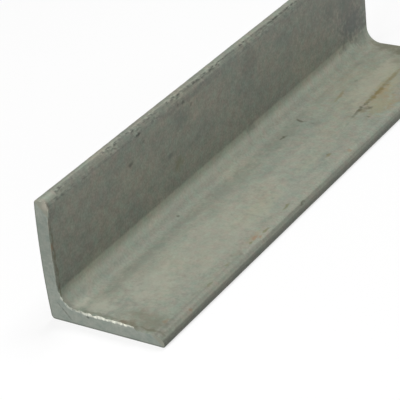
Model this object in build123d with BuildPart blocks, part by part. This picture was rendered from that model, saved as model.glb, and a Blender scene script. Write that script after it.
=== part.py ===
from build123d import *
import os

# Equal angle, 50 x 50 x 5 mm, hot rolled, cut square to a short length.
# X runs from the heel to the flat leg's toe, Y along the bar and Z up. The flat leg lies
# on Z = 0, the upright leg stands at -X, and the origin is in the middle of the underside.

# Rolled section, in millimetres
FLAT_LEG = 50.0           # outside width of the leg that lies down, heel to toe
UPRIGHT_LEG = 50.0        # outside height of the leg that stands, heel to toe
LEG_THICKNESS = 5.0
ROOT_RADIUS = 7.0         # hollow fillet between the legs
TOE_RADIUS = 3.5          # rolled inner edge of each toe
TOE_CORNER_RADIUS = 1.2   # outer edge of each toe
HEEL_RADIUS = 1.5         # outer corner where the legs meet
TOE_LAND = 0.1            # least flat left on a toe between its two roundings

# Cut piece
BAR_LENGTH = 245.0

# The toe's two roundings share the leg's thickness, so the inner one gives way first.
toe_corner_radius = min(TOE_CORNER_RADIUS, LEG_THICKNESS / 2 - TOE_LAND)
toe_radius = min(TOE_RADIUS, LEG_THICKNESS - toe_corner_radius - TOE_LAND)

# Corners of the section, before rounding
outer_x = -FLAT_LEG / 2
toe_x = FLAT_LEG / 2
inner_x = outer_x + LEG_THICKNESS
heel = (outer_x, 0)
flat_toe_corner = (toe_x, 0)
flat_toe_inside = (toe_x, LEG_THICKNESS)
root = (inner_x, LEG_THICKNESS)
upright_toe_inside = (inner_x, UPRIGHT_LEG)
upright_toe_corner = (outer_x, UPRIGHT_LEG)

# The radius that the rolls leave at each corner, going round the section
rounding = {
    heel: HEEL_RADIUS,
    flat_toe_corner: toe_corner_radius,
    flat_toe_inside: toe_radius,
    root: ROOT_RADIUS,
    upright_toe_inside: toe_radius,
    upright_toe_corner: toe_corner_radius,
}

# Angle bar: the rolled section, run the length of the cut piece
with BuildPart() as angle_bar:
    with BuildSketch(Plane.XZ):
        with BuildLine():
            Polyline(*rounding, close=True)
        make_face()
        for corner, radius in rounding.items():
            fillet(vertices().sort_by_distance(corner)[0], radius)
    extrude(amount=BAR_LENGTH / 2, both=True)

angle_bar.part.label = "angle_bar"

os.makedirs("parts", exist_ok=True)
export_step(angle_bar.part, "parts/angle_bar.step")

print(f"section area {angle_bar.part.volume / BAR_LENGTH:.1f} mm2")
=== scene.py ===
"""Dresses a short piece of equal steel angle as hot-rolled, pickled and lightly rusted stock."""

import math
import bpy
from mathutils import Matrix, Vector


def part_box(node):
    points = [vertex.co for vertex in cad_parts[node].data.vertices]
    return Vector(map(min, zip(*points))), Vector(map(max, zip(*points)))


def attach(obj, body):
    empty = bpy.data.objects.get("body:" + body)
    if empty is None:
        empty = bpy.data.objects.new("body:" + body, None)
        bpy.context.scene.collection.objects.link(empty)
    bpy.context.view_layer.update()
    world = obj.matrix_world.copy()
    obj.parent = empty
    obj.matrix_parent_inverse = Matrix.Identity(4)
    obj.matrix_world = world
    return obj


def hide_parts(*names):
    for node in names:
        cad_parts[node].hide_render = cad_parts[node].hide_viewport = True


bl_info = {
    "name": "Metal Angle Section",
    "version": (1, 0, 0),
    "blender": (4, 5, 0),
    "location": "View3D > Sidebar > Angle",
    "description": "Models a cut piece of hot-rolled steel angle and the studio it lies in",
    "category": "Object",
}

from collections import namedtuple

import bmesh
import bpy
from bpy.props import FloatProperty, FloatVectorProperty, PointerProperty
from mathutils import Matrix, Vector

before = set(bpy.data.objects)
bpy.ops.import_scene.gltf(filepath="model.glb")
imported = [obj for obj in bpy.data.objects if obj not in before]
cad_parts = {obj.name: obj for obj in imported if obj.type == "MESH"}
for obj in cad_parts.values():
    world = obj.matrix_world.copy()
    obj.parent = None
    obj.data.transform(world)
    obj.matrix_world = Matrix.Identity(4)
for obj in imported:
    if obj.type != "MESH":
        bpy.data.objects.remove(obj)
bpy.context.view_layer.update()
CAD_NODE = "angle_bar"
LOW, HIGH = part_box(CAD_NODE)

MM = 0.001
SAME = 0.001 * MM           # lengths closer than this count as equal
THICKNESS = 5.0 * MM        # of both legs
SENSOR_WIDTH = 36.0         # of the camera, in millimetres


def srgb(code):
    """A colour written as sRGB hex, such as 96988a, as the linear values that a shader takes."""
    channels = [int(code[place:place + 2], 16) / 255 for place in (0, 2, 4)]
    return [c / 12.92 if c <= 0.04045 else ((c + 0.055) / 1.055) ** 2.4 for c in channels]


# ---------------------------------------------------------------- settings


class SectionSettings(bpy.types.PropertyGroup):
    """The rolled section and the cut piece's length."""

    flat_leg: FloatProperty(
        name="Flat leg", description="Outside width of the leg that lies down", unit="LENGTH",
        default=HIGH.x - LOW.x)
    upright_leg: FloatProperty(
        name="Upright leg", description="Outside height of the leg that stands", unit="LENGTH",
        default=HIGH.z - LOW.z)
    bar_length: FloatProperty(
        name="Length", description="Length of the cut piece", unit="LENGTH", default=HIGH.y - LOW.y)
    thickness: FloatProperty(
        name="Thickness", description="Thickness of both legs", unit="LENGTH", default=THICKNESS)
    root_radius: FloatProperty(
        name="Root radius", description="Hollow fillet between the legs", unit="LENGTH", default=7.0 * MM)
    toe_radius: FloatProperty(
        name="Toe radius", description="Rolled inner edge of each toe", unit="LENGTH", default=3.5 * MM)
    toe_corner_radius: FloatProperty(
        name="Toe corner radius", description="Outer edge of each toe", unit="LENGTH", default=1.2 * MM)
    heel_radius: FloatProperty(
        name="Heel radius", description="Outer corner where the legs meet", unit="LENGTH",
        default=1.5 * MM)
    mesh_step: FloatProperty(
        name="Mesh step", description="Spacing of the mesh's lines round the section", unit="LENGTH",
        default=1.5 * MM)


class CutSettings(bpy.types.PropertyGroup):
    """The two cut ends, and the burr that the blade pushed up on the near one."""

    edge_radius: FloatProperty(
        name="Cut edge", description="Rounding of the edges round each cut face", unit="LENGTH",
        default=0.25 * MM)
    burr_height: FloatProperty(
        name="Burr height", description="How far the burr stands over the inner faces", unit="LENGTH",
        default=2.2 * MM)
    burr_width: FloatProperty(
        name="Burr width", description="From the cut edge to the burr's foot", unit="LENGTH",
        default=0.55 * MM)
    burr_bead: FloatProperty(
        name="Burr bead", description="Length of the beads that the burr breaks into", unit="LENGTH",
        default=1.7 * MM)
    burr_end: FloatProperty(
        name="Burr end", description="Where the burr dies out on the flat leg, from the heel",
        unit="LENGTH", default=38.5 * MM)
    cut_bow: FloatProperty(
        name="Cut bow", description="How far the near cut falls back at the top of the upright leg",
        unit="LENGTH", default=1.4 * MM)
    bow_middle: FloatProperty(
        name="Bow middle", description="Height at which the near cut stands furthest out",
        unit="LENGTH", default=21 * MM)
    wave_depth: FloatProperty(
        name="Wave depth", description="Depth of the shallow waves that rolling leaves", unit="LENGTH",
        default=0.08 * MM)
    nick_depth: FloatProperty(
        name="Nick depth", description="Depth of the dents along the toes and the heel", unit="LENGTH",
        default=0.08 * MM)


class FinishSettings(bpy.types.PropertyGroup):
    """The main colours of the rolled skin, of the cuts and of the metal laid bare, whose brightness is
    partly a painted glint.
    """

    skin_dark: FloatVectorProperty(
        name="Dark skin", description="Darker blotches of the pickled skin", subtype="COLOR", size=4,
        min=0, max=1, default=srgb("92988d") + [1])
    skin_light: FloatVectorProperty(
        name="Light skin", description="Lighter blotches of the pickled skin", subtype="COLOR", size=4,
        min=0, max=1, default=srgb("9f9f90") + [1])
    # Mill scale left in the toes; on the flat toe's rounded edge and side it also stands in for shade, as
    # painted shade
    mill_scale: FloatVectorProperty(
        name="Mill scale", description="What is left of it in the toes", subtype="COLOR", size=4,
        min=0, max=1, default=srgb("4c5048") + [1])
    cut_dark: FloatVectorProperty(
        name="Dark cut", description="Darker blotches of the cut faces", subtype="COLOR", size=4,
        min=0, max=1, default=srgb("889289") + [1])
    cut_light: FloatVectorProperty(
        name="Light cut", description="Lighter blotches of the cut faces", subtype="COLOR", size=4,
        min=0, max=1, default=srgb("9da197") + [1])
    # bare metal of the burr, so light that it is partly a painted glint of the lamps
    bare_metal: FloatVectorProperty(
        name="Bare metal", description="The torn beads of the burr", subtype="COLOR", size=4,
        min=0, max=1, default=srgb("f6f7e8") + [1])


class StageSettings(bpy.types.PropertyGroup):
    """The floor, the lamps and the camera."""

    top_power: FloatProperty(
        name="Top soft box", description="Power of the lamp overhead", unit="POWER", default=5.0)
    front_power: FloatProperty(
        name="Front soft box", description="Power of the lamp before the near end", unit="POWER",
        default=6.7)
    side_power: FloatProperty(
        name="Side soft box", description="Power of the low lamp on the open side", unit="POWER",
        default=1.6)
    world_light: FloatProperty(
        name="Room light", description="Even light from all round", default=0.2)
    floor_glow: FloatProperty(
        name="Floor glow", description="Light that only the view and reflections see on the floor",
        default=0.74)
    camera_azimuth: FloatProperty(
        name="Azimuth", description="Camera's turn round the bar, from its near end towards its open side",
        subtype="ANGLE", default=math.radians(35.158))
    camera_elevation: FloatProperty(
        name="Elevation", description="Camera's height above the horizon", subtype="ANGLE",
        default=math.radians(29.335))
    camera_roll: FloatProperty(
        name="Roll", description="Camera's turn about its own line of sight", subtype="ANGLE",
        default=math.radians(-6.724))
    camera_distance: FloatProperty(
        name="Distance", description="From the camera to the point that it looks at", unit="LENGTH",
        default=730.4 * MM)
    camera_aim: FloatVectorProperty(
        name="Aim", description="The point that the camera looks at", subtype="XYZ", unit="LENGTH",
        default=(-18.45 * MM, -28.26 * MM, 1.37 * MM))
    camera_lens: FloatProperty(
        name="Lens", description="Focal length for a 36 mm sensor, in millimetres", default=163.22)


# ---------------------------------------------------------------- modelling helpers


def shape_only(piece):
    """Makes the piece the one selected and active object, and goes into its edit mode."""
    if bpy.context.object and bpy.context.object.mode != "OBJECT":
        bpy.ops.object.mode_set(mode="OBJECT")
    bpy.ops.object.select_all(action="DESELECT")
    piece.select_set(True)
    bpy.context.view_layer.objects.active = piece
    bpy.ops.object.mode_set(mode="EDIT")


def pick(piece, kind, test):
    """In edit mode, selects only the piece's vertices, edges or faces that pass the test."""
    mode = {"verts": "VERT", "edges": "EDGE", "faces": "FACE"}[kind]
    bpy.ops.mesh.select_mode(type=mode)
    bpy.ops.mesh.select_all(action="DESELECT")
    shape = bmesh.from_edit_mesh(piece.data)
    for item in getattr(shape, kind):
        item.select = test(item)
    shape.select_flush_mode()
    bmesh.update_edit_mesh(piece.data)


def centre(item):
    """The middle of an edge or a face."""
    return sum((v.co for v in item.verts), Vector()) / len(item.verts)


def span(edge):
    """The edge as a vector."""
    return edge.verts[1].co - edge.verts[0].co


def near(value, other):
    """Whether two lengths are the same."""
    return abs(value - other) < SAME


def ramp(value, start, end):
    """Rises smoothly from 0 at start to 1 at end, which may be the lower of the two."""
    share = min(max((value - start) / (end - start), 0), 1)
    return share * share * (3 - 2 * share)


def even_places(low, high, step):
    """Evenly spaced places from low to high, about a step apart."""
    count = max(1, round((high - low) / step))
    return [low + (high - low) * k / count for k in range(count + 1)]


def cut_lines(axis, places):
    """Cuts the whole piece by planes square to an axis, 0 for X, 1 for Y or 2 for Z."""
    for place in places:
        point, normal = [0, 0, 0], [0, 0, 0]
        point[axis], normal[axis] = place, 1
        bpy.ops.mesh.select_all(action="SELECT")
        bpy.ops.mesh.bisect(plane_co=point, plane_no=normal)


def weigh(piece, name, weight_of):
    """Makes a vertex group whose weights come from each vertex's place."""
    group = piece.vertex_groups.new(name=name)
    for vertex in piece.data.vertices:
        weight = weight_of(vertex.co)
        if weight > 0:
            group.add([vertex.index], weight, "REPLACE")


def push(piece, group, direction, distance, still=0, lumps=None):
    """Moves a group's vertices by a Displace modifier, evenly or by a texture's brightness."""
    bpy.ops.object.modifier_add(type="DISPLACE")
    displace = piece.modifiers[-1]
    displace.vertex_group = group
    displace.direction = direction
    displace.strength = distance
    displace.mid_level = still
    displace.texture = lumps
    bpy.ops.object.modifier_apply(modifier=displace.name)


def clouds(name, size, contrast=1.0):
    """A solid random texture with lumps of about this size."""
    texture = bpy.data.textures.new(name, type="CLOUDS")
    texture.noise_scale = size
    texture.noise_depth = 2
    texture.use_clamp = True
    texture.contrast = contrast
    return texture


# ---------------------------------------------------------------- the bar


ROOT_SEGMENTS = 10
TOE_SEGMENTS = 8
CORNER_SEGMENTS = 5

# Rings round the bar by each cut, in burr widths from the cut face's rounded edge
RINGS_BY_CUT = (0.2, 0.45, 0.75, 1.1, 1.6, 2.4, 3.4)
# The long stretch between them is then divided twice, by this many cuts
LENGTH_CUTS = (47, 4)

BURR_EDGE = 0.6 * MM        # longer edges along the burr are divided
BURR_ROOT = 1.5             # how deep under the face the burr starts, in radii of the cut edge
MIDWAY_BURR = 0.27          # share of the burr that stands halfway up the upright leg
TOE_BURR = 0.6              # what the upright toe adds to it
FLAT_BURR = 0.6             # share that stands near the burr's end on the flat leg

# Places between which a part of the burr grows from nothing to its full share
TOWARDS_TOE = (HIGH.z - 9 * MM, HIGH.z - 3 * MM)
BELOW_TOP = (HIGH.z - 0.35 * MM, HIGH.z - 1.35 * MM)
UP_THE_ROOT = (LOW.z + 9 * MM, LOW.z + 14 * MM)
INTO_ROOT = (LOW.x + 16 * MM, LOW.x + 12 * MM)

SHARP_ANGLE = math.radians(20)      # steeper edges stay sharp


def start_as_flat_leg(section):
    """A block of the flat leg's size, lying on the floor."""
    bpy.ops.object.select_all(action="DESELECT")
    bpy.ops.mesh.primitive_cube_add(size=1, location=(0, 0, section.thickness / 2))
    piece = bpy.context.object
    piece.name = "rolled_angle_bar"
    piece.scale = (section.flat_leg, section.bar_length, section.thickness)
    bpy.ops.object.transform_apply(location=True, rotation=True, scale=True)
    return piece


def raise_upright_leg(piece, section):
    """Marks off the heel's strip and extrudes it up to the upright leg's height."""
    inner_x = LOW.x + section.thickness
    cut_lines(0, [inner_x])
    pick(piece, "faces", lambda face: face.normal.z > 0.9 and centre(face).x < inner_x)
    rise = section.upright_leg - section.thickness
    bpy.ops.mesh.extrude_region_move(TRANSFORM_OT_translate={"value": (0, 0, rise)})
    bpy.ops.mesh.select_all(action="SELECT")
    bpy.ops.mesh.dissolve_limited(angle_limit=math.radians(1))


def round_lengthwise_edge(piece, x, z, radius, segments):
    """Rounds the edge that runs the bar's length at this place of the section."""
    def at_place(edge):
        middle = centre(edge)
        return abs(span(edge).y) > 0 and near(middle.x, x) and near(middle.z, z)
    pick(piece, "edges", at_place)
    bpy.ops.mesh.bevel(offset=radius, segments=segments, profile=0.5, affect="EDGES")


def roll_section(piece, section):
    """Rounds the six corners of the section as the rolls leave them."""
    inner_x, inner_z = LOW.x + section.thickness, LOW.z + section.thickness
    round_lengthwise_edge(piece, inner_x, inner_z, section.root_radius, ROOT_SEGMENTS)
    for x, z in ((HIGH.x, inner_z), (inner_x, HIGH.z)):
        round_lengthwise_edge(piece, x, z, section.toe_radius, TOE_SEGMENTS)
    for x, z in ((HIGH.x, LOW.z), (LOW.x, HIGH.z)):
        round_lengthwise_edge(piece, x, z, section.toe_corner_radius, CORNER_SEGMENTS)
    round_lengthwise_edge(piece, LOW.x, LOW.z, section.heel_radius, CORNER_SEGMENTS)


def soften_cut_edges(piece, cut):
    """Takes the sharpness off the outline of both cut faces."""
    def on_outline(edge):
        return near(abs(centre(edge).y), HIGH.y) and near(span(edge).y, 0)
    pick(piece, "edges", on_outline)
    bpy.ops.mesh.bevel(offset=cut.edge_radius, segments=2, profile=0.5, affect="EDGES")


def is_cut_face(face):
    """Whether a face belongs to one of the two cuts and not to the skin."""
    return abs(face.normal.y) > 0.95


def divide_section(section, cut):
    """Draws the mesh's lines round the section, through the legs and across the cut faces."""
    step, thick, root = section.mesh_step, section.thickness, section.root_radius
    for axis, low, high in ((0, LOW.x, HIGH.x), (2, LOW.z, HIGH.z)):
        tangent = low + thick + root
        turns = [math.pi / 2 * k / ROOT_SEGMENTS for k in range(1, ROOT_SEGMENTS)]
        burr_foot = low + thick - 2 * cut.edge_radius
        through_thickness = even_places(low, burr_foot, thick / 4)[1:]
        round_root = [tangent - root * math.cos(turn) for turn in turns]
        along_leg = even_places(tangent, high - section.toe_radius, step)
        cut_lines(axis, through_thickness + round_root + along_leg)


def divide_length(piece, cut):
    """Draws rings round the bar: close together by the cut ends, and even between them."""
    rings = [cut.edge_radius + cut.burr_width * share for share in RINGS_BY_CUT]
    cut_lines(1, [LOW.y + ring for ring in rings] + [HIGH.y - ring for ring in rings[::2]])
    for cuts in LENGTH_CUTS:
        pick(piece, "edges", lambda edge: abs(span(edge).y) > 2 * MM)
        bpy.ops.mesh.subdivide(number_cuts=cuts)


def under_inner_face(place, section):
    """How deep a place lies under the inner faces, and the outward normal there, as X and Z."""
    inner = section.thickness
    tangent = inner + section.root_radius
    x, z = place.x - LOW.x, place.z - LOW.z
    if x < tangent and z < tangent:
        hollow = Vector((tangent - x, tangent - z))
        return hollow.length - section.root_radius, hollow.normalized()
    toe = section.toe_radius
    round_toe = Vector((x - inner + toe, z - section.upright_leg + toe))
    if min(round_toe) > 0:
        return toe - round_toe.length, round_toe.normalized()
    if x < tangent:
        return inner - x, Vector((1, 0))
    return inner - z, Vector((0, 1))


def refine_burr(piece, section, cut):
    """Shortens the edges along the burr, so that its beads come out round."""
    def along_burr(edge):
        middle = centre(edge)
        depth, _ = under_inner_face(middle, section)
        by_cut = middle.y - LOW.y < 3 * cut.burr_width and depth < BURR_ROOT * cut.edge_radius
        return by_cut and near(span(edge).y, 0) and span(edge).length > BURR_EDGE
    pick(piece, "edges", along_burr)
    bpy.ops.mesh.subdivide(number_cuts=2)


def burr_share(place, section, cut):
    """How much of the burr stands at a place: most in the root and least halfway up the upright leg."""
    depth, _ = under_inner_face(place, section)
    if depth > BURR_ROOT * cut.edge_radius:
        return 0
    back = place.y - LOW.y
    by_toe = ramp(place.z, *TOWARDS_TOE)
    lengthwise = ramp(back, cut.edge_radius + (1 + by_toe) * cut.burr_width, cut.edge_radius)
    end = LOW.x + cut.burr_end
    on_flat_leg = FLAT_BURR + 0.2 * ramp(place.x, end - 5 * MM, end - 9 * MM)
    in_root = 0.2 * ramp(place.x, *INTO_ROOT)
    upright = ramp(place.z, *UP_THE_ROOT)
    low_part = (on_flat_leg + in_root) * ramp(place.x, end, end - 1.5 * MM)
    high_part = (MIDWAY_BURR + TOE_BURR * by_toe) * ramp(place.z, *BELOW_TOP)
    return lengthwise * (low_part * (1 - upright) + high_part * upright)


def raise_burr(piece, section, cut):
    """Pushes up the broken lip that the blade left along the inner edge of the near cut."""
    def share(place, axis):
        _, normal = under_inner_face(place, section)
        return burr_share(place, section, cut) * max(normal[axis], 0)
    places = [vertex.co.copy() for vertex in piece.data.vertices]
    beads = clouds("burr_beads", cut.burr_bead, contrast=0.8)
    beads.intensity = 1.35
    weigh(piece, "burr_sideways", lambda place: share(place, 0))
    weigh(piece, "burr_upwards", lambda place: share(place, 1))
    push(piece, "burr_sideways", "X", cut.burr_height, lumps=beads)
    push(piece, "burr_upwards", "Z", cut.burr_height, lumps=beads)
    marks = piece.data.attributes.new("burr_lift", "FLOAT", "POINT")
    for place, vertex, mark in zip(places, piece.data.vertices, marks.data):
        mark.value = (vertex.co - place).length / MM


def bow_near_cut(piece, cut):
    """Lets the near cut fall back towards the toe and the heel of the upright leg."""
    reach = 8 * MM
    middle = LOW.z + cut.bow_middle

    def share(place):
        from_middle = (place.z - middle) / (HIGH.z - middle)
        return from_middle ** 2 * ramp(place.y, LOW.y + reach, LOW.y)
    weigh(piece, "cut_bow", share)
    push(piece, "cut_bow", "Y", cut.cut_bow)


def wear_rolled_faces(piece, section, cut):
    """Presses in the shallow waves of the faces and the small dents of the toes and the heel."""
    lifted = 1 * MM

    def off_floor(place):
        return ramp(place.z, LOW.z, LOW.z + lifted)

    def on_edges(place):
        flat_toe = 0.4 * ramp(place.x, HIGH.x - section.toe_radius, HIGH.x - section.toe_radius / 2)
        upright_toe = ramp(place.z, HIGH.z - section.toe_radius, HIGH.z - section.toe_radius / 2)
        heel = ramp(place.x + place.z, LOW.x + section.heel_radius, LOW.x)
        return max(flat_toe, upright_toe, heel) * off_floor(place)
    weigh(piece, "rolled_faces", off_floor)
    weigh(piece, "rolled_edges", on_edges)
    waves = clouds("waves", 16 * MM, contrast=1.5)
    nicks = clouds("nicks", 3 * MM, contrast=2.0)
    push(piece, "rolled_faces", "NORMAL", cut.wave_depth, still=1, lumps=waves)
    push(piece, "rolled_edges", "NORMAL", cut.nick_depth, still=1, lumps=nicks)


# ---------------------------------------------------------------- shader helpers


def add_node(tree, kind, *values, out=0, **settings):
    """Adds a node. Its open sockets take the values in order: numbers, colours or other nodes' outputs."""
    node = tree.nodes.new("ShaderNode" + kind)
    for setting, value in settings.items():
        setattr(node, setting, value)
    open_sockets = [socket for socket in node.inputs if socket.enabled]
    for socket, value in zip(open_sockets, values):
        if isinstance(value, bpy.types.NodeSocket):
            tree.links.new(value, socket)
        elif value is not None:
            socket.default_value = value
    return node.outputs[out]


def new_finish(name):
    """A material with its tree, its shader and each point's place on the bar in millimetres."""
    material = bpy.data.materials.new(name)
    material.use_nodes = True
    tree = material.node_tree
    place = add_node(tree, "TexCoord", out="Object")
    in_mm = add_node(tree, "VectorMath", place, 1 / MM, operation="SCALE")
    return material, tree, tree.nodes["Principled BSDF"], in_mm


def lumps(tree, place, size, stretch=(1, 1, 1), detail=2, seed=0):
    """Random light and dark from 0 to 1, in lumps of a size in millimetres times a stretch per axis."""
    scale = [1 / (size * share) for share in stretch]
    sized = add_node(tree, "Mapping", place, (seed, seed, seed), (0, 0, 0), scale)
    noise = add_node(tree, "TexNoise", sized, 1, detail, 0.55)
    return add_node(tree, "MapRange", noise, 0.3, 0.7, 0, 1)


def zone(tree, place, soft, **limits):
    """1 between limits given for x, y or z in millimetres, and 0 outside, with an edge this soft."""
    axes = add_node(tree, "SeparateXYZ", place).node.outputs
    share = 1
    for axis, (low, high) in limits.items():
        value = axes[axis.upper()]
        for start, end in ((low - soft / 2, low + soft / 2), (high + soft / 2, high - soft / 2)):
            inside = add_node(tree, "MapRange", value, start, end, 0, 1, interpolation_type="SMOOTHSTEP")
            share = add_node(tree, "Math", inside, share, operation="MULTIPLY")
    return share


def spot(tree, place, ragged, middle, half_sizes, turn, strength):
    """A soft oval of this strength. It fades towards its rim, which a ragged pattern makes uneven."""
    offset = add_node(tree, "VectorMath", place, middle, operation="SUBTRACT")
    if any(turn):
        offset = add_node(tree, "Mapping", offset, None, [-angle for angle in turn])
    oval = add_node(tree, "VectorMath", offset, half_sizes, operation="DIVIDE")
    distance = add_node(tree, "VectorMath", oval, operation="LENGTH", out="Value")
    distance = add_node(tree, "Math", distance, ragged, operation="ADD")
    return add_node(
        tree, "MapRange", distance, 1.1, 0.2, 0, strength, interpolation_type="SMOOTHSTEP")


Mark = namedtuple("Mark", "across along half_across half_along strength turn", defaults=(0,))

FLAT_FACE = (LOW.z + THICKNESS) / MM        # the inner face of the flat leg, as Z in millimetres
UPRIGHT_FACE = (LOW.x + THICKNESS) / MM     # and that of the upright leg, as X
MARK_DEPTH = 4          # how far a mark reaches to either side of its face
FAR = 99                # past the section's outline
PAST_NEAR, PAST_FAR = -130, 130     # past the two cuts


def marks_on(tree, place, ragged, face, marks):
    """The strongest of a face's marks at each point. Across is X or Z, along is Y, all in millimetres."""
    most = 0
    for mark in marks:
        if face == "flat leg":
            middle, turn = (mark.across, mark.along, FLAT_FACE), (0, 0, math.radians(mark.turn))
            sizes = (mark.half_across, mark.half_along, MARK_DEPTH)
        else:
            middle, turn = (UPRIGHT_FACE, mark.along, mark.across), (math.radians(mark.turn), 0, 0)
            sizes = (MARK_DEPTH, mark.half_along, mark.half_across)
        shade = spot(tree, place, ragged, middle, sizes, turn, mark.strength)
        most = add_node(tree, "Math", shade, most, operation="MAXIMUM")
    return most


# Painted highlights: two glints on burr beads low in the root
ROOT_BEADS = ((-18.4, 10.4), (-16.2, 7.6))      # bright beads low in the root, as X and Z


def bare_edge(tree, place, colour, bare_metal):
    """Lays bright torn metal over a colour, high on the burr and most of all on the flat leg: partly the
    metal's own colour, partly a painted glint.
    """
    lift = add_node(tree, "Attribute", attribute_name="burr_lift", out="Fac")
    beads = lumps(tree, place, 1.3, (1, 3, 3), detail=3, seed=31)
    level = add_node(tree, "Math", beads, 0.4, lift, operation="MULTIPLY_ADD")
    in_root = zone(tree, place, 3, x=(-FAR, -10.5))
    level = add_node(tree, "Math", in_root, -0.6, level, operation="MULTIPLY_ADD")
    share = add_node(tree, "MapRange", level, 0.85, 1.35, 0, 1, interpolation_type="SMOOTHSTEP")
    strength = add_node(tree, "MapRange", beads, 0.25, 0.75, 0.45, 0.95)
    strength = add_node(tree, "Math", in_root, -0.65, strength, operation="MULTIPLY_ADD")
    share = add_node(tree, "Math", share, strength, operation="MULTIPLY")
    for x, z in ROOT_BEADS:
        bead = spot(tree, place, 0, (x, LOW.y / MM, z), (1, 3, 1), (0, 0, 0), 0.35)
        share = add_node(tree, "Math", share, bead, operation="MAXIMUM")
    return add_node(tree, "Mix", share, colour, bare_metal, data_type="RGBA", out=2)


# ---------------------------------------------------------------- finishes


FLAT_LEG_MARKS = {
    "bdbcab": (     # pale, where the skin is thin; down the middle of the flat leg also its painted sheen
        Mark(-8, -114, 10, 7, 0.45),
        Mark(-15.5, -117, 3, 4, 0.3),
        Mark(2, -93, 11, 21, 0.35),
        Mark(1, 82, 6, 20, 0.35),
        Mark(4.2, 82, 3.4, 26, 0.4),
        Mark(2, -60, 12, 60, 0.2),
        Mark(13, -50, 6, 80, 0.2),
        Mark(4, 5, 5, 36, 0.15),
        Mark(18, -10, 4, 30, 0.15),
        Mark(1, 98, 5, 16, 0.4),
    ),
    "b5b394": (     # yellowish tints
        Mark(11, 10, 5, 12, 0.15),
        Mark(11, -30, 6, 16, 0.2),
        Mark(5.5, 97, 3.8, 22, 0.12),
        Mark(10.6, 88, 3.4, 8, 0.35),
    ),
    "9c936f": (     # warmer towards the far end and by the rust
        Mark(4, 96, 26, 62, 0.18),
        Mark(11.5, 73, 4.5, 18, 0.5),
        Mark(6.6, 84, 2.2, 16, 0.5),
        Mark(12, 70.5, 2.5, 5, 0.45),
        Mark(15.5, 66, 6, 14, 0.5),
    ),
    "7c8377": (     # cool grey patches left by the acid, and bands along the root side that are cool grey tint and partly painted shade
        Mark(-10.3, -85, 3.6, 34, 0.45),
        Mark(-10.3, -44, 3, 10, 0.4),
        Mark(-9.2, -14, 3.5, 26, 0.4),
        Mark(-9.2, 25, 5, 20, 0.45),
        Mark(-3, 41, 3.5, 4, 0.3),
        Mark(-5, -87, 4, 9, 0.25),
        Mark(-5, -38, 6, 6, 0.25),
    ),
    "6f6e5a": (     # olive damp marks, and thin lines just behind the burr that are its painted shadow
        Mark(16, -116, 10, 8, 0.5),
        Mark(10, -112.8, 8, 4, 0.45),
        Mark(20.5, -64, 2.6, 4.5, 0.25),
        Mark(2.5, 107.5, 3.5, 4, 0.4),
        Mark(15.3, 78.3, 1, 1.6, 0.35),
        # painted shadow of the burr, in thin lines just behind it
        Mark(-3, -118.9, 15, 0.8, 0.4),
        Mark(-16.5, -121, 4, 0.7, 0.4),
        Mark(16.5, -119.8, 9, 1.3, 0.8),
        Mark(0, 117, 5, 7, 0.8),
        Mark(-8, 120.5, 11, 6, 0.6),
        Mark(20.6, -87, 0.9, 26, 0.15),
    ),
    "a3875c": (     # brown tints round the rust
        Mark(16.5, 77, 1.8, 2, 0.3),
        Mark(14, 74, 1.8, 2.2, 0.25),
        Mark(9.9, 78, 2, 8, 0.3),
        Mark(19.5, 71, 3, 8, 0.25),
        Mark(19.6, -50, 1.6, 9, 0.2),
    ),
    "9c7a5c": (     # reddish flecks by the toe
        Mark(20.6, -50.7, 1, 2, 0.5),
        Mark(22, -48.8, 0.8, 1.6, 0.6),
        Mark(21.7, 24.8, 0.9, 2.2, 0.45),
        Mark(20, -113, 1.5, 2, 0.3),
        Mark(23.6, -102, 0.9, 1.4, 0.5),
    ),
    "77774f": (     # yellowish flecks among them
        Mark(21.1, -54.1, 0.9, 1.8, 0.7),
        Mark(21.6, -43.8, 0.8, 3, 0.65),
        Mark(20.1, -25.1, 0.8, 3.4, 0.65),
        Mark(20.8, -71.5, 0.9, 2, 0.45),
        Mark(22, -85.5, 0.8, 2.6, 0.5),
    ),
    "7f7244": (     # rust in the scratch, and two fainter streaks
        Mark(8.4, 76, 1.8, 15, 0.8, 1.6),
        Mark(8.8, 71, 1.4, 6, 0.7),
        Mark(7.6, 93, 1.3, 13, 0.52, 1.6),
        Mark(-5.5, 68.4, 1.2, 7.5, 0.45, 4),
        Mark(15.7, 18, 1, 2.8, 0.55),
    ),
    "5f5a3e": (Mark(10.8, 60.5, 3.6, 4.6, 0.35),),      # damp round the scratch
    "73654f": (Mark(8, -119.4, 5, 1.8, 0.55),),         # rust bloom behind the burr, darkened as the burr's painted shadow
    "45462f": (     # dark specks and the scratch itself
        Mark(-15.7, -48, 0.7, 0.8, 0.6),
        Mark(-9.4, 24.9, 1.1, 2.4, 0.75, -17),
        Mark(-10.2, 40.6, 2.5, 0.85, 0.68, -20),
        Mark(-4, 40.6, 5, 0.6, 0.2, -8),
        Mark(-8.9, 36.8, 0.8, 0.8, 0.25),
        Mark(8.9, 58, 1, 9.5, 0.55, 1.5),
        Mark(8.8, 64.5, 1.1, 5, 0.5),
        Mark(8.7, 61.3, 1.2, 1.6, 0.65),
        Mark(10.4, 61.1, 2.2, 0.9, 0.35, -15),
        Mark(12, 62, 1.3, 1.8, 0.45),
        Mark(14.9, 54.7, 0.8, 0.9, 0.4),
        Mark(10, 45.5, 0.8, 2, 0.2),
        Mark(-5.8, 83.5, 0.7, 1.6, 0.3),
        Mark(14.8, 18.4, 0.6, 0.6, 0.3),
        Mark(24, -19.2, 0.7, 2.4, 0.6),
    ),
}
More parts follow.
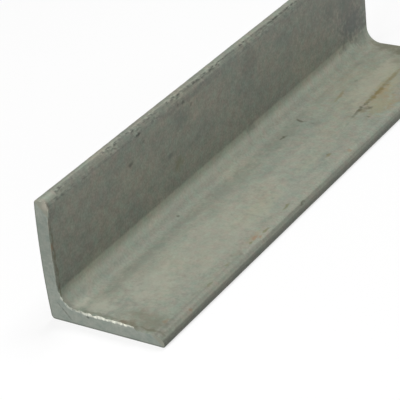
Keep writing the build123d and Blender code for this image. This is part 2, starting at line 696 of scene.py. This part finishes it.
UPRIGHT_LEG_MARKS = {
    "565b5c": (     # cool dark patches
        Mark(27, 104, 11, 12, 0.4, -20),
        Mark(20, 108, 10, 13, 0.6),
        Mark(16, 117, 5, 6, 0.5),
        Mark(11, 99, 2.5, 4, 0.35),
        Mark(41, 21, 8, 9, 0.3),
        Mark(33, 89, 8, 6, 0.35),
        Mark(12, 17, 4, 5, 0.3),
        Mark(40, -32.4, 6, 8, 0.25),
        Mark(28.3, -42.2, 1.6, 3.6, 0.45),
        Mark(46, -24, 1.8, 32, 0.3),
    ),
    "7a7a5c": (Mark(22.6, -37.4, 3.6, 4.5, 0.45),),     # a yellowish patch
    "6b5f45": (     # rust bloom behind the burr, partly the burr's painted shadow
        Mark(29, -120.4, 19, 0.7, 0.5),
        Mark(12, -120.4, 5, 0.7, 0.6),
    ),
    "5f635b": (     # duller towards the far end
        Mark(42, 118, 32, 85, 0.32),
        Mark(10, 114, 4, 10, 0.4),
    ),
    "ad8262": (Mark(30.8, -121.3, 2.4, 0.9, 0.45),),    # a fleck of rust on the burr
    "9f9b8d": (Mark(48.2, -120.4, 2.8, 2.4, 1),),     # pale corner of the toe by the near cut
    "3f413a": (     # dark specks
        Mark(38.1, -67.9, 1.2, 2, 0.6),
        Mark(46.6, -33.6, 1.1, 1.6, 0.45),
        Mark(45.8, -29.4, 1.1, 1.6, 0.5),
        Mark(42.5, -24.6, 1, 1.4, 0.4),
        Mark(47.1, -61, 0.9, 2, 0.8),
        Mark(43.2, -58.6, 0.8, 1.2, 0.35),
    ),
}
TOE_SCALE = (
    # strips of scale left in the toes, which on the flat leg's toe also paint the shade of its rounded edge
    # and side: where each lies, how much is left and how softly it ends
    ({"x": (-22.2, -21.3), "y": (0, PAST_FAR), "z": (48, 51)}, 0.58, 0.8),
    ({"x": (-22.1, -20.8), "y": (-113, 0), "z": (48, 51)}, 0.52, 0.8),
    ({"x": (-23.6, -22.2), "y": (-118, PAST_FAR), "z": (48, 51)}, 0.12, 0.6),
    ({"x": (-23.6, -22.2), "y": (-70, 0), "z": (48, 51)}, 0.22, 0.8),
    ({"x": (-21.3, -19), "y": (-113, PAST_FAR), "z": (48.2, 51)}, 0.34, 0.6),
    ({"x": (-21, -19), "z": (46.9, 48.3)}, 0.32, 0.6),
    # Over the flat leg's toe these strips are partly painted shade, darkening its rounded edge and its side
    ({"x": (22, 23.4), "z": (3, 6)}, 0.1, 0.8),
    ({"x": (21.7, 23.6), "y": (PAST_NEAR, -62), "z": (3, 6)}, 0.3, 1.2),
    ({"x": (23.2, 24.6), "y": (PAST_NEAR, -50), "z": (3, 6)}, 0.2, 1.0),
    ({"x": (23.6, 24.7), "y": (-50, PAST_FAR), "z": (3, 4.9)}, 0.34, 0.6),
    ({"x": (23, 26), "z": (-1, 3.3)}, 0.56, 1.0),
    ({"x": (24, 26), "z": (-1, 2.5)}, 0.66, 0.8),
)


UPRIGHT_SKIN = {"x": (-22, -19), "z": (12.9, 48)}
ROOT_HOLLOW = {"x": (-22, -10), "z": (-9, 12.9)}
ABOVE_FLAT_LEG = {"z": (7, FAR)}


def rolled_steel(finish):
    """Hot-rolled mild steel, pickled in acid: the scale is gone, and a matt grey-green skin is left.

    The skin is blotchy, with faint streaks along the rolling direction and a fine etched grain. Scale
    stays in the toes, and rust has started in a scratch and along the flat leg's edge. Painted shade
    darkens the flat toe's rounded edge and side, the bands along the root side and the line behind the
    burr; painted light brightens the root hollow, a painted sheen runs down the flat leg's middle, and
    the burr's beads carry a painted glint. The etched grain of the real metal is finer than the 0.9 mm
    drawn here, which is as coarse as it needs to be to show.
    """
    material, tree, shader, place = new_finish("pickled_hot_rolled_steel")
    blotches = lumps(tree, place, 12, (1, 1.6, 1), detail=4, seed=3)
    patches = lumps(tree, place, 3.5, (1, 1.3, 1), detail=3, seed=11)
    streaks = lumps(tree, place, 1.2, (1, 30, 1), detail=2, seed=5)
    grain = lumps(tree, place, 0.9, detail=2, seed=7)
    tint = lumps(tree, place, 3, detail=3, seed=23)
    colour = add_node(
        tree, "Mix", blotches, finish.skin_dark, finish.skin_light, data_type="RGBA", out=2)
    tint = add_node(tree, "Mix", tint, srgb("f3fffb") + [1], srgb("fff5f5") + [1], data_type="RGBA", out=2)
    colour = add_node(tree, "Mix", 1, colour, tint, data_type="RGBA", blend_type="MULTIPLY", out=2)
    upright = zone(tree, place, 1.4, **UPRIGHT_SKIN)
    relief = -0.18
    for pattern, depth in ((blotches, 0.04), (patches, 0.17), (streaks, 0.02), (grain, 0.18)):
        relief = add_node(tree, "Math", pattern, depth, relief, operation="MULTIPLY_ADD")
    rougher = add_node(tree, "Math", upright, 0.5, 1, operation="MULTIPLY_ADD")
    shade = add_node(tree, "Math", relief, rougher, 1, operation="MULTIPLY_ADD")
    colour = add_node(tree, "VectorMath", colour, shade, operation="SCALE")
    colour = add_node(
        tree, "Mix", upright, colour, srgb("f4f3f6") + [1], data_type="RGBA", blend_type="MULTIPLY", out=2)
    # Painted light: the root hollow is lightened, most at the near end, to stand in for light where its own
    # shading falls darker
    root = zone(tree, place, 1.4, **ROOT_HOLLOW)
    root = add_node(tree, "Math", root, zone(tree, place, 3.8, **ABOVE_FLAT_LEG), operation="MULTIPLY")
    along = add_node(tree, "SeparateXYZ", place, out="Y")
    root_tone = add_node(tree, "MapRange", along, -70, 120, 0.34, 0.18)
    root_tone = add_node(tree, "Math", root, root_tone, 1, operation="MULTIPLY_ADD")
    colour = add_node(tree, "VectorMath", colour, root_tone, operation="SCALE")

    # The marks stray from true ovals, by up to about a millimetre
    wander = add_node(tree, "TexNoise", place, 0.3, 3, 0.6, out="Color")
    wander = add_node(tree, "VectorMath", wander, (0.5, 0.5, 0.5), operation="SUBTRACT")
    strayed = add_node(tree, "VectorMath", wander, (2.5, 2.5, 2.5), place, operation="MULTIPLY_ADD")
    ragged = add_node(tree, "MapRange", lumps(tree, place, 2.2, detail=3, seed=17), 0, 1, -0.35, 0.35)
    for face, groups in (("flat leg", FLAT_LEG_MARKS), ("upright leg", UPRIGHT_LEG_MARKS)):
        for code, marks in groups.items():
            share = marks_on(tree, strayed, ragged, face, marks)
            colour = add_node(tree, "Mix", share, colour, srgb(code) + [1], data_type="RGBA", out=2)

    specks = lumps(tree, place, 0.9, (1, 2.2, 1), detail=4, seed=13)
    # The strips of scale and painted shade lean a little across the toes from the near cut to the far one
    leaning = add_node(tree, "Mapping", place, None, (0, 0, math.radians(0.3)))
    scale_left = 0
    for limits, depth, soft in TOE_SCALE:
        strip = zone(tree, leaning, soft, **limits)
        strip = add_node(tree, "Math", strip, depth, operation="MULTIPLY")
        scale_left = add_node(tree, "Math", strip, scale_left, operation="MAXIMUM")
    across = add_node(tree, "SeparateXYZ", place, out="X")
    unevenness = add_node(tree, "MapRange", across, 0, -1, 0.15, 1)
    clusters = lumps(tree, place, 3, (1, 3, 1), detail=3, seed=29)
    clusters = add_node(tree, "MapRange", clusters, 0.2, 0.8, 0.3, 1.8)
    unevenness = add_node(tree, "Math", unevenness, clusters, operation="MULTIPLY")
    patchy = add_node(tree, "MapRange", specks, 0.2, 0.8, -0.55, 0.55)
    patchy = add_node(tree, "Math", patchy, unevenness, 1, operation="MULTIPLY_ADD")
    scale_left = add_node(tree, "Math", scale_left, patchy, operation="MULTIPLY")
    colour = add_node(tree, "Mix", scale_left, colour, finish.mill_scale, data_type="RGBA", out=2)

    colour = bare_edge(tree, place, colour, finish.bare_metal)
    tree.links.new(colour, shader.inputs["Base Color"])
    shader.inputs["Metallic"].default_value = 0.4
    roughness = add_node(tree, "MapRange", patches, 0, 1, 0.55, 0.66)
    tree.links.new(roughness, shader.inputs["Roughness"])
    height = add_node(tree, "Math", streaks, 0.3, grain, operation="MULTIPLY_ADD")
    bump = add_node(tree, "Bump", 0.6, 0.02 * MM, None, height)
    tree.links.new(bump, shader.inputs["Normal"])
    return material


def cut_steel(finish):
    """Mild steel cut by a blade and gone dull: cooler and smoother than the rolled skin.

    The blade's lines are drawn 0.5 mm apart, coarser than the real ones, so that they show.
    """
    material, tree, shader, place = new_finish("sawn_mild_steel")
    blotches = lumps(tree, place, 3, detail=4, seed=4)
    lines = lumps(tree, place, 0.5, (30, 1, 1), detail=1, seed=9)
    grain = lumps(tree, place, 0.8, detail=2, seed=7)
    colour = add_node(
        tree, "Mix", blotches, finish.cut_dark, finish.cut_light, data_type="RGBA", out=2)
    shade = add_node(tree, "Math", lines, 0.04, 0.92, operation="MULTIPLY_ADD")
    shade = add_node(tree, "Math", grain, 0.12, shade, operation="MULTIPLY_ADD")
    colour = add_node(tree, "VectorMath", colour, shade, operation="SCALE")
    cut = LOW.y / MM
    ragged = add_node(tree, "MapRange", lumps(tree, place, 1.2, detail=2, seed=21), 0, 1, -0.3, 0.3)
    dark = 0
    for middle, half_sizes, turn, strength in (
            ((-18, cut, 4.8), (0.45, 3, 5.8), -38, 0.5),
            ((-7.7, cut, 5.0), (0.9, 3, 0.7), 0, 0.9),
            ((-22.5, cut, 28), (5, 3, 10), 0, 0.16),
            ((-22.5, cut, 34), (9, 3, 24), 0, 0.22)):
        mark = spot(tree, place, ragged, middle, half_sizes, (0, math.radians(turn), 0), strength)
        dark = add_node(tree, "Math", mark, dark, operation="MAXIMUM")
    # Browner at both toes, where the blade rolled the metal over
    tilted = add_node(tree, "Mapping", place, None, (0, math.radians(-45), 0))
    rolled_over = add_node(tree, "Math", zone(tree, tilted, 1, z=(17.4, FAR)), 0.75, operation="MULTIPLY")
    colour = add_node(tree, "Mix", rolled_over, colour, srgb("8f8f80") + [1], data_type="RGBA", out=2)
    # A pale patch on the upright toe's corner by the near cut
    bare_corner = spot(tree, place, ragged, (-20, cut, 48.4), (2.2, 4, 2.6), (0, 0, 0), 1)
    colour = add_node(tree, "Mix", bare_corner, colour, srgb("a8a496") + [1], data_type="RGBA", out=2)
    # Painted shade: a dark line along the cut face's outer edges, by the upright leg's outer face and along
    # the floor
    face = zone(tree, place, 0.5, x=(-24.4, FAR), z=(0.7, FAR))
    outer_edges = add_node(tree, "Math", 1, face, operation="SUBTRACT")
    outer_edges = add_node(tree, "Math", outer_edges, 0.5, operation="MULTIPLY")
    dark = add_node(tree, "Math", dark, outer_edges, operation="MAXIMUM")
    colour = add_node(tree, "Mix", dark, colour, srgb("3f433c") + [1], data_type="RGBA", out=2)
    colour = bare_edge(tree, place, colour, finish.bare_metal)
    tree.links.new(colour, shader.inputs["Base Color"])
    shader.inputs["Metallic"].default_value = 0.4
    shader.inputs["Roughness"].default_value = 0.55
    bump = add_node(tree, "Bump", 0.5, 0.02 * MM, None, lines)
    tree.links.new(bump, shader.inputs["Normal"])
    return material


# ---------------------------------------------------------------- operators


class ANGLE_OT_rolled_bar(bpy.types.Operator):
    """Model the rolled bar with its cut ends"""

    bl_idname = "angle.rolled_bar"
    bl_label = "Rolled Angle Bar"

    def execute(self, context):
        section, cut = context.scene.angle_section, context.scene.angle_cut
        finish = context.scene.angle_finish
        piece = start_as_flat_leg(section)
        shape_only(piece)
        raise_upright_leg(piece, section)
        roll_section(piece, section)
        soften_cut_edges(piece, cut)
        divide_section(section, cut)
        divide_length(piece, cut)
        piece.data.materials.append(rolled_steel(finish))
        piece.data.materials.append(cut_steel(finish))
        pick(piece, "faces", is_cut_face)
        piece.active_material_index = 1
        bpy.ops.object.material_slot_assign()
        refine_burr(piece, section, cut)
        bpy.ops.object.mode_set(mode="OBJECT")
        raise_burr(piece, section, cut)
        bow_near_cut(piece, cut)
        wear_rolled_faces(piece, section, cut)
        bpy.ops.object.shade_smooth_by_angle(angle=SHARP_ANGLE)
        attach(piece, "root")
        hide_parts(CAD_NODE)
        return {"FINISHED"}


class ANGLE_OT_stage(bpy.types.Operator):
    """Lay the floor, set the soft boxes and place the camera"""

    bl_idname = "angle.stage"
    bl_label = "Floor, Lamps and Camera"

    def execute(self, context):
        stage = context.scene.angle_stage
        lay_floor(stage)
        hang_lamps(stage)
        set_camera(stage)
        return {"FINISHED"}


FLOOR_SIZE = 8
FLOOR_DROP = 0.05 * MM      # keeps the paper just clear of the bar's underside
SOFT_BOX_SIZE = 0.5


def lay_floor(stage):
    """White paper: the view and reflections see its glow, and only the lamps' light leaves it."""
    bpy.ops.object.select_all(action="DESELECT")
    bpy.ops.mesh.primitive_plane_add(size=FLOOR_SIZE, location=(0, 0, -FLOOR_DROP))
    floor = bpy.context.object
    floor.name = "floor"
    paper = bpy.data.materials.new("white_paper")
    paper.use_nodes = True
    tree = paper.node_tree
    tree.nodes.clear()
    path = add_node(tree, "LightPath").node.outputs
    seen = add_node(tree, "Math", path["Is Camera Ray"], path["Is Glossy Ray"], operation="MAXIMUM")
    seen = add_node(tree, "Math", seen, path["Is Transmission Ray"], operation="MAXIMUM")
    glow = add_node(tree, "Math", seen, stage.floor_glow, operation="MULTIPLY")
    light = add_node(tree, "Emission", (1, 1, 1, 1), glow)
    sheet = add_node(tree, "BsdfDiffuse", srgb("8c8c8c") + [1])
    both = add_node(tree, "AddShader", light, sheet)
    add_node(tree, "OutputMaterial", both, out=slice(0))    # this node has no socket to give back
    floor.data.materials.append(paper)


def hang_lamps(stage):
    """Three soft boxes that face the bar, and an even light all round."""
    for name, place, power in (
            ("top_soft_box", (0, 0.4, 0.95), stage.top_power),
            ("front_soft_box", (0, -0.85, 0.55), stage.front_power),
            ("side_soft_box", (0.7, 0.7, 0.25), stage.side_power)):
        bpy.ops.object.light_add(type="AREA", location=place)
        lamp = bpy.context.object
        lamp.name = name
        lamp.data.shape = "SQUARE"
        lamp.data.size = SOFT_BOX_SIZE
        lamp.data.energy = power
        lamp.rotation_mode = "QUATERNION"
        lamp.rotation_quaternion = (-Vector(place)).to_track_quat("-Z", "Y")
    world = bpy.data.worlds.new("studio")
    world.use_nodes = True
    background = world.node_tree.nodes["Background"]
    background.inputs["Color"].default_value = (1, 1, 1, 1)
    background.inputs["Strength"].default_value = stage.world_light
    bpy.context.scene.world = world


def set_camera(stage):
    """The camera's place comes from its turn, height and distance about the point it looks at."""
    turn, height = stage.camera_azimuth, stage.camera_elevation
    back = Vector((math.sin(turn) * math.cos(height), -math.cos(turn) * math.cos(height), math.sin(height)))
    aim = Vector(stage.camera_aim)
    bpy.ops.object.camera_add(location=aim + back * stage.camera_distance)
    camera = bpy.context.object
    camera.rotation_mode = "QUATERNION"
    facing = (-back).to_track_quat("-Z", "Y").to_matrix()
    camera.rotation_quaternion = (facing @ Matrix.Rotation(stage.camera_roll, 3, "Z")).to_quaternion()
    camera.data.sensor_width = SENSOR_WIDTH
    camera.data.lens = stage.camera_lens
    bpy.context.scene.camera = camera


class ANGLE_PT_panel(bpy.types.Panel):
    """Lists the piece and the stage"""

    bl_idname = "ANGLE_PT_panel"
    bl_label = "Metal Angle Section"
    bl_space_type = "VIEW_3D"
    bl_region_type = "UI"
    bl_category = "Angle"

    def draw(self, context):
        for operator in OPERATORS:
            self.layout.operator(operator.bl_idname)


SETTINGS = {
    "angle_section": SectionSettings,
    "angle_cut": CutSettings,
    "angle_finish": FinishSettings,
    "angle_stage": StageSettings,
}
OPERATORS = (ANGLE_OT_rolled_bar, ANGLE_OT_stage)


def register():
    """Registers the settings, the operators and the panel."""
    for item in (*SETTINGS.values(), *OPERATORS, ANGLE_PT_panel):
        bpy.utils.register_class(item)
    for name, group in SETTINGS.items():
        setattr(bpy.types.Scene, name, PointerProperty(type=group))


def unregister():
    """Takes them away again."""
    for name in SETTINGS:
        delattr(bpy.types.Scene, name)
    for item in reversed((*SETTINGS.values(), *OPERATORS, ANGLE_PT_panel)):
        bpy.utils.unregister_class(item)


def main():
    """Builds the piece and the stage."""
    register()
    bpy.context.scene.view_settings.view_transform = "Standard"
    bpy.ops.angle.rolled_bar()
    bpy.ops.angle.stage()


if __name__ == "__main__":
    main()
